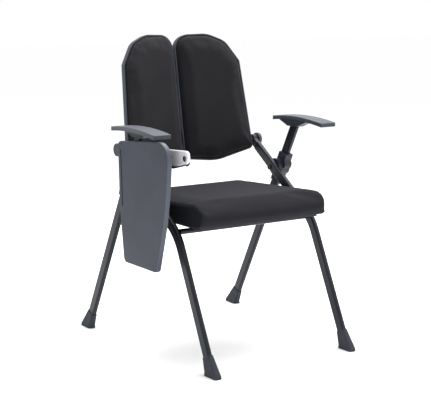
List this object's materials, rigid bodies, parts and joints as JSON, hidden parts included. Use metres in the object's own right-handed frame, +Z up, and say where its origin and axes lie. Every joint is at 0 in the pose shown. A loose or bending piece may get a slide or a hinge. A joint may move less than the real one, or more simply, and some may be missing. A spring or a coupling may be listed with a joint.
{
  "type": "student desk chair",
  "caption": "Folding scissor-frame chair with padded seat, split backrest, arms and a swing-over writing tablet.",
  "frame": {"origin": "on the floor, midway between the sides of the chair", "axes": "+X to the sitter's left, the sitter faces -Y, +Z up"},
  "size_m": [0.634, 0.704, 0.904],
  "materials": {
    "frame_black": "satin black powder coat",
    "foot_rubber": "matt grey-black rubber",
    "dark_plastic": "dark grey textured polypropylene",
    "arm_plastic": "grey fine-textured polyurethane",
    "shell_plastic": "blue-grey textured polypropylene",
    "tablet_plastic": "slate grey fine-textured ABS",
    "seat_fabric": "black woven polyester",
    "back_fabric": "black woven polyester",
    "plywood": "birch plywood",
    "cast_silver": "bright die-cast aluminium",
    "zinc_steel": "zinc-plated steel",
    "black_steel": "black-coated steel",
    "black_rubber": "matt black rubber",
    "white_nylon": "natural nylon"
  },
  "bodies": {
    "front_frame": {"front_leg_right": "frame_black", "front_leg_left": "frame_black", "front_foot_right": "foot_rubber", "front_foot_left": "foot_rubber", "back_hinge_eye_right": "dark_plastic", "back_hinge_eye_left": "dark_plastic", "back_hinge_pin_right": "zinc_steel", "back_hinge_pin_left": "zinc_steel", "tilt_bush_right": "black_rubber", "tilt_bush_left": "black_rubber", "hinge_cap_right": "dark_plastic", "hinge_cap_left": "dark_plastic", "crossing_bolt_right": "black_steel", "crossing_bolt_left": "black_steel", "crossing_washer_right": "white_nylon", "crossing_washer_left": "white_nylon", "crossing_nut_right": "zinc_steel", "crossing_nut_left": "zinc_steel", "front_crossbar": "frame_black"},
    "rear_frame": {"rear_leg_right": "frame_black", "rear_leg_left": "frame_black", "rear_foot_right": "foot_rubber", "rear_foot_left": "foot_rubber", "crossing_bush_right": "zinc_steel", "crossing_bush_left": "zinc_steel", "crossing_knuckle_right": "dark_plastic", "crossing_knuckle_left": "dark_plastic", "arm_pad_right": "arm_plastic", "arm_pad_left": "arm_plastic", "arm_bracket_right": "dark_plastic", "arm_bracket_left": "dark_plastic", "rear_crossbar": "frame_black", "arm_pad_screws": "zinc_steel", "arm_post_screws": "black_steel", "tablet_arm": "cast_silver", "tablet_arm_screws": "black_steel", "tablet_stop_screw": "zinc_steel", "tablet_spindle": "zinc_steel", "spindle_nut": "zinc_steel"},
    "seat": {"seat_cushion": "seat_fabric", "seat_board": "plywood", "seat_pan": "dark_plastic", "strap_screws": "zinc_steel", "seat_buffers": "black_rubber", "seat_saddle_right": "dark_plastic", "seat_saddle_left": "dark_plastic", "saddle_strap_right": "dark_plastic", "saddle_strap_left": "dark_plastic"},
    "backrest": {"back_shell_right": "shell_plastic", "back_shell_left": "shell_plastic", "back_cushion_right": "back_fabric", "back_cushion_left": "back_fabric", "back_yoke": "frame_black", "lobe_mounts": "black_rubber", "lobe_screws": "zinc_steel"},
    "tablet": {"tablet_board": "tablet_plastic", "tablet_bracket": "black_steel", "tablet_screws": "black_steel"}
  },
  "joints": [
    {"name": "frame_fold", "type": "hinge", "parent": "front_frame", "child": "rear_frame", "pos_m": [0, 0.054, 0.495], "axis": [-1, 0, 0], "range_deg": [0, 50]},
    {"name": "seat_tip", "type": "hinge", "parent": "rear_frame", "child": "seat", "pos_m": [0, 0.12823, 0.362], "axis": [-1, 0, 0], "range_deg": [0, 28]},
    {"name": "back_tilt", "type": "hinge", "parent": "front_frame", "child": "backrest", "pos_m": [0, 0.155, 0.572], "axis": [-1, 0, 0], "range_deg": [0, 12], "stiffness_Nm_per_rad": 60, "springref_deg": -5.73},
    {"name": "tablet_turn", "type": "hinge", "parent": "rear_frame", "child": "tablet", "pos_m": [-0.256, -0.208, 0.585], "axis": [-0.7071, 0, 0.7071], "range_deg": [0, 180]}
  ],
  "couplings": [
    {"joint": "seat_tip", "follows": "frame_fold", "ratio": 0.56}
  ]
}
